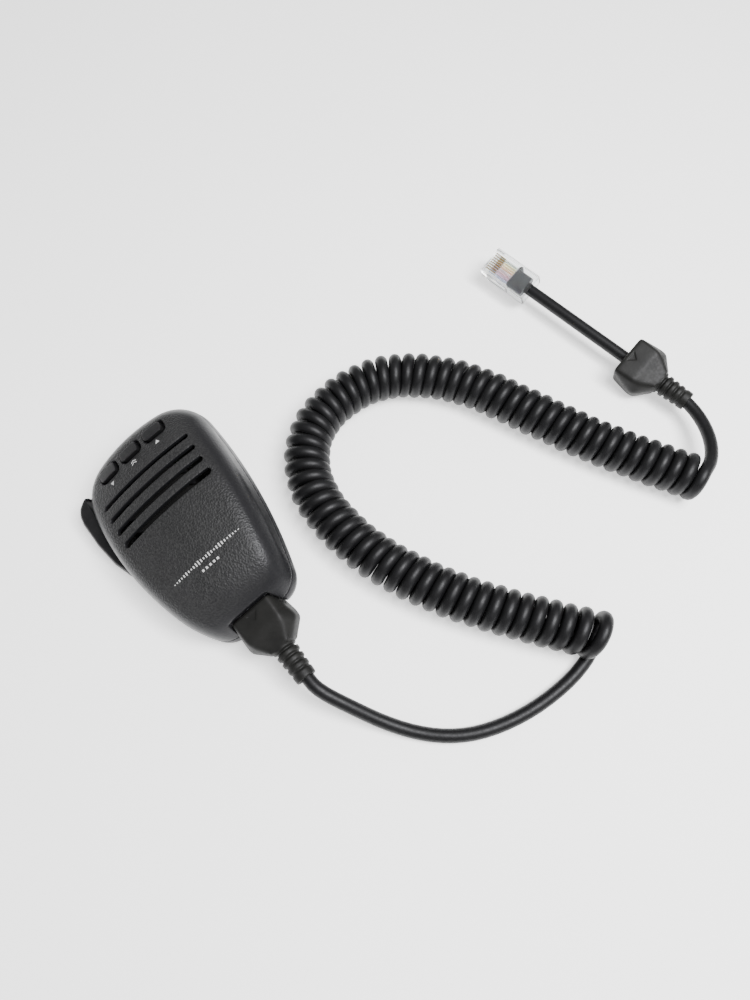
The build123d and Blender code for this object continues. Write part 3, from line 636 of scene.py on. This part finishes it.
def round_boot(piece, place):
    """Rounds the boot's body but not its ribbed tail or its pocket, then sinks the mark.

    place is the boot's own frame. The pocket is eased outwards, so that the remeshed walls stay
    clear of the plug.
    """
    back = place.inverted()
    group = piece.vertex_groups.new(name="body")
    for vertex in piece.data.vertices:
        spot = back @ vertex.co
        share = held((spot.y + BOOT_BODY) / BOOT_BLEND)
        if in_pocket(spot):
            share = 0.0
            spot.x += math.copysign(POCKET_EASE, spot.x)
            spot.z += POCKET_EASE
            vertex.co = place @ spot
        group.add([vertex.index], share, "REPLACE")
    add_smooth(piece, BOOT_ROUNDING, group.name)
    bake(piece)
    piece.vertex_groups.clear()
    for vertex in piece.data.vertices:
        spot = back @ vertex.co
        if spot.z > BOOT_TOP:
            spot.z -= mark_depth(spot.x, spot.y)
            vertex.co = place @ spot


round_boot(soft["mic_end_boot"], MIC_FRAME @ Matrix.Translation(BOOT_IN_MIC))
round_boot(
    soft["radio_boot"],
    Matrix.Translation(PLUG_REAR) @ RADIO_TURN @ Matrix.Translation(BOOT_BEHIND_PLUG),
)

# ---------------------------------------------------------------- printing on the face
# In the microphone's own plan.
PRINT_LIFT = 0.00003
PRINT_DEPTH = 0.00006
ABOVE_FACE = 0.06
LEGEND_Y = 0.0283
LEGEND_SPACING = 0.0109
TRIANGLE_R = 0.0010
CHEVRON_HALF = 0.0011
CHEVRON_RISE = 0.0006
CHEVRON_THICK = 0.00035
CHEVRON_SPACING = 0.0009
LEVEL_X = 0.0022
LEVEL_Y = -0.0172
LEVEL_PITCH = 0.00113
LEVEL_WIDTH = 0.00048
LEVEL_STEP = 0.0001
LEVELS = [3, 5, 8, 6, 9, 12, 8, 5, 9, 13, 16, 11, 7, 10, 14, 9, 6, 11, 15, 12, 8, 5, 9, 6, 4, 3]
DOT_SIDE = 0.0008
DOT_PITCH = 0.0016
DOTS_BELOW = 0.0030

face_tree = BVHTree.FromObject(soft["front_shell"], bpy.context.evaluated_depsgraph_get())


def on_face(x, y, lift):
    """Point of the face under this place of the plan, raised by lift."""
    start = MIC_FRAME @ Vector((x, y, ABOVE_FACE))
    place, _, _, _ = face_tree.ray_cast(start, -FACE_NORMAL)
    return place + FACE_NORMAL * lift


def printed(name, outlines):
    """Thin raised ink patches, each from its outline in the plan."""
    mesh = bmesh.new()
    for outline in outlines:
        top = [mesh.verts.new(on_face(x, y, PRINT_LIFT)) for x, y in outline]
        foot = [mesh.verts.new(on_face(x, y, PRINT_LIFT - PRINT_DEPTH)) for x, y in outline]
        mesh.faces.new(top)
        mesh.faces.new(foot[::-1])
        for i in range(len(outline)):
            j = (i + 1) % len(outline)
            mesh.faces.new((foot[i], foot[j], top[j], top[i]))
    data = bpy.data.meshes.new(name)
    mesh.normal_update()
    mesh.to_mesh(data)
    mesh.free()
    piece = link(name, data)
    dress(piece, INK)
    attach(piece, "microphone")


def bar(x, y, width, height):
    w, h = width / 2, height / 2
    return [(x - w, y - h), (x + w, y - h), (x + w, y + h), (x - w, y + h)]


def triangle(x, y, turn):
    """Equal-sided triangle about this middle: it points up, and is then turned by these degrees."""
    angles = [math.radians(corner + turn) for corner in (90, 210, 330)]
    return [(x + TRIANGLE_R * math.cos(a), y + TRIANGLE_R * math.sin(a)) for a in angles]


def chevron(x, y):
    lower = [(x - CHEVRON_HALF, y), (x, y + CHEVRON_RISE), (x + CHEVRON_HALF, y)]
    return lower + [(px, py + CHEVRON_THICK) for px, py in reversed(lower)]


def level_x(index):
    return LEVEL_X + (index - (len(LEVELS) - 1) / 2) * LEVEL_PITCH


printed("down_mark", [triangle(-LEGEND_SPACING, LEGEND_Y, 180)])
printed("fast_mark", [chevron(0.0, LEGEND_Y - CHEVRON_SPACING), chevron(0.0, LEGEND_Y)])
printed("up_mark", [triangle(LEGEND_SPACING, LEGEND_Y, 0)])
printed(
    "level_bars",
    [bar(level_x(i), LEVEL_Y, LEVEL_WIDTH, LEVEL_STEP * level) for i, level in enumerate(LEVELS)],
)
printed(
    "level_dots",
    [bar(LEVEL_X + i * DOT_PITCH, LEVEL_Y - DOTS_BELOW, DOT_SIDE, DOT_SIDE) for i in range(-2, 3)],
)

# ---------------------------------------------------------------- light and floor
SET_MIDDLE = Vector((0.06, -0.03, 0.0))
FLOOR_HALF = 4
FLOOR_GLOW = 0.9
WORLD_STRENGTH = 0.45


def make_floor():
    """Pale seamless table."""
    mesh = bpy.data.meshes.new("floor")
    corners = [(x, y, 0) for x, y in bar(0, 0, 2 * FLOOR_HALF, 2 * FLOOR_HALF)]
    mesh.from_pydata(corners, [], [(0, 1, 2, 3)])
    floor = link("floor", mesh)
    n = Nodes("floor")
    n.set(
        Base_Color=n.clouded(6.0, 2.0, 1.0, (0.93, 0.93, 0.93), (0.9, 0.9, 0.9)),
        Roughness=0.8,
        Specular_IOR_Level=0.1,
        Emission_Color=rgb(1, 1, 1),
        Emission_Strength=FLOOR_GLOW,
    )
    dress(floor, n.material)


def make_world():
    world = bpy.data.worlds.new("studio")
    bpy.context.scene.world = world
    world.use_nodes = True
    background = world.node_tree.nodes["Background"]
    background.inputs["Color"].default_value = rgb(1, 1, 1)
    background.inputs["Strength"].default_value = WORLD_STRENGTH


def softbox(name, place, size, power):
    """Rectangular light at this place, turned to the middle of the set."""
    data = bpy.data.lights.new(name, "AREA")
    data.shape = "RECTANGLE"
    data.size, data.size_y = size
    data.energy = power
    light = link(name, data)
    light.location = place
    light.rotation_euler = (SET_MIDDLE - Vector(place)).to_track_quat("-Z", "Y").to_euler()


make_floor()
make_world()
softbox("key_light", place=(0.17, -0.20, 0.60), size=(0.34, 0.26), power=7.5)
softbox("corner_light", place=(0.26, -0.29, 0.50), size=(0.14, 0.14), power=2.6)
